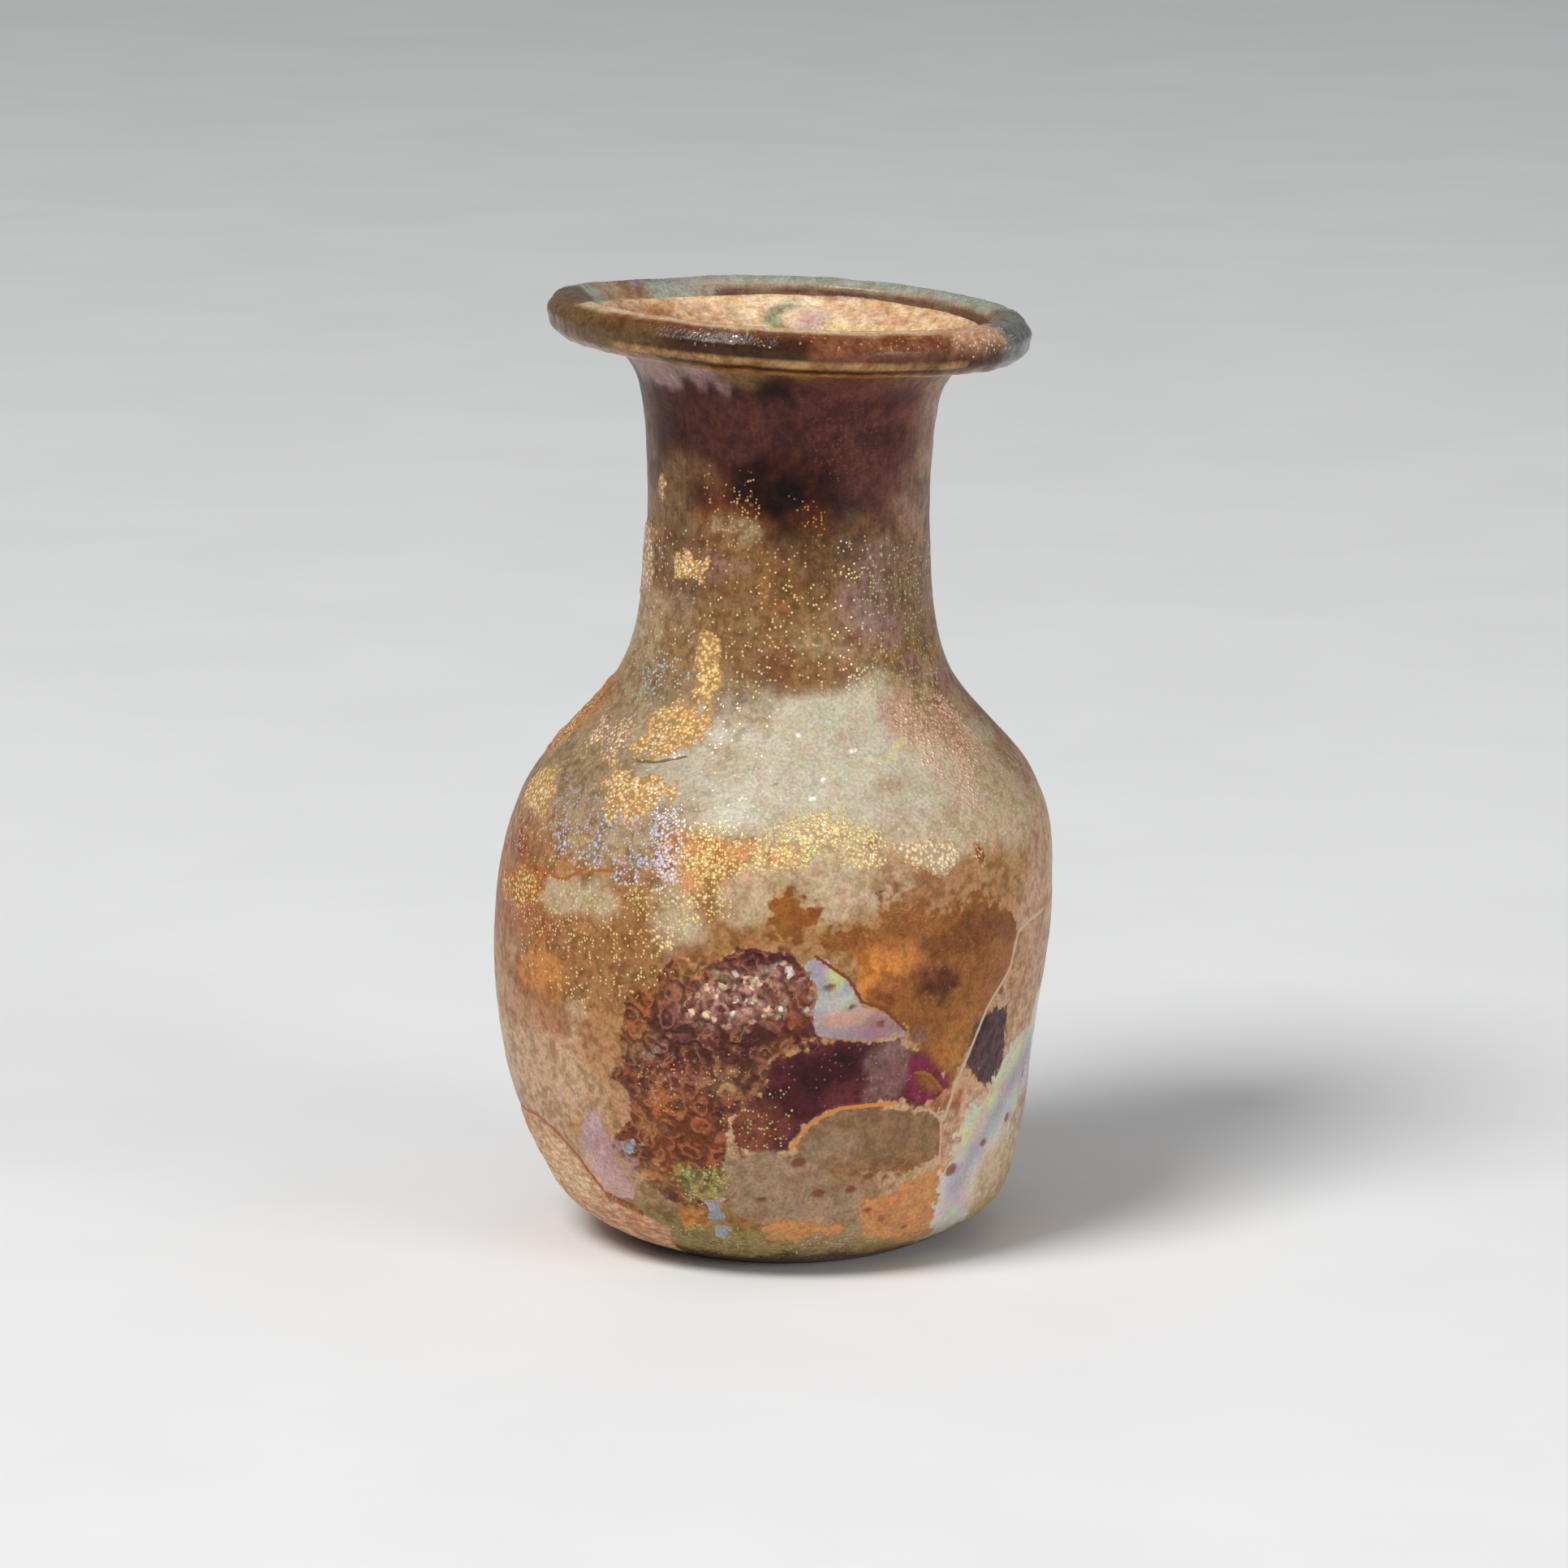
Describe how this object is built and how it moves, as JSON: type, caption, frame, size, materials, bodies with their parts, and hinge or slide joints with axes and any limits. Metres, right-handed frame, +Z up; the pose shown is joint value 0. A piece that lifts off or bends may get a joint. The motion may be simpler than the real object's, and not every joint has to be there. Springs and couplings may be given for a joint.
{
  "type": "glass vase",
  "caption": "Small hollow blown-glass vase with a swelling body, a straight neck and a wide rolled lip; it stands on its flat foot and holds oil, perfume or a stem.",
  "frame": {"origin": "on the surface the vase stands on, under the middle of its outline", "axes": "+Z up through the mouth; -Y is the side that the picture shows; +X to its right"},
  "size_m": [0.0462, 0.0462, 0.0791],
  "materials": {
    "weathered_glass": "honey-brown translucent glass under a flaking iridescent weathering skin, glossy where the skin is whole"
  },
  "bodies": {
    "root": {"glass_vase": "weathered_glass"}
  },
  "joints": []
}
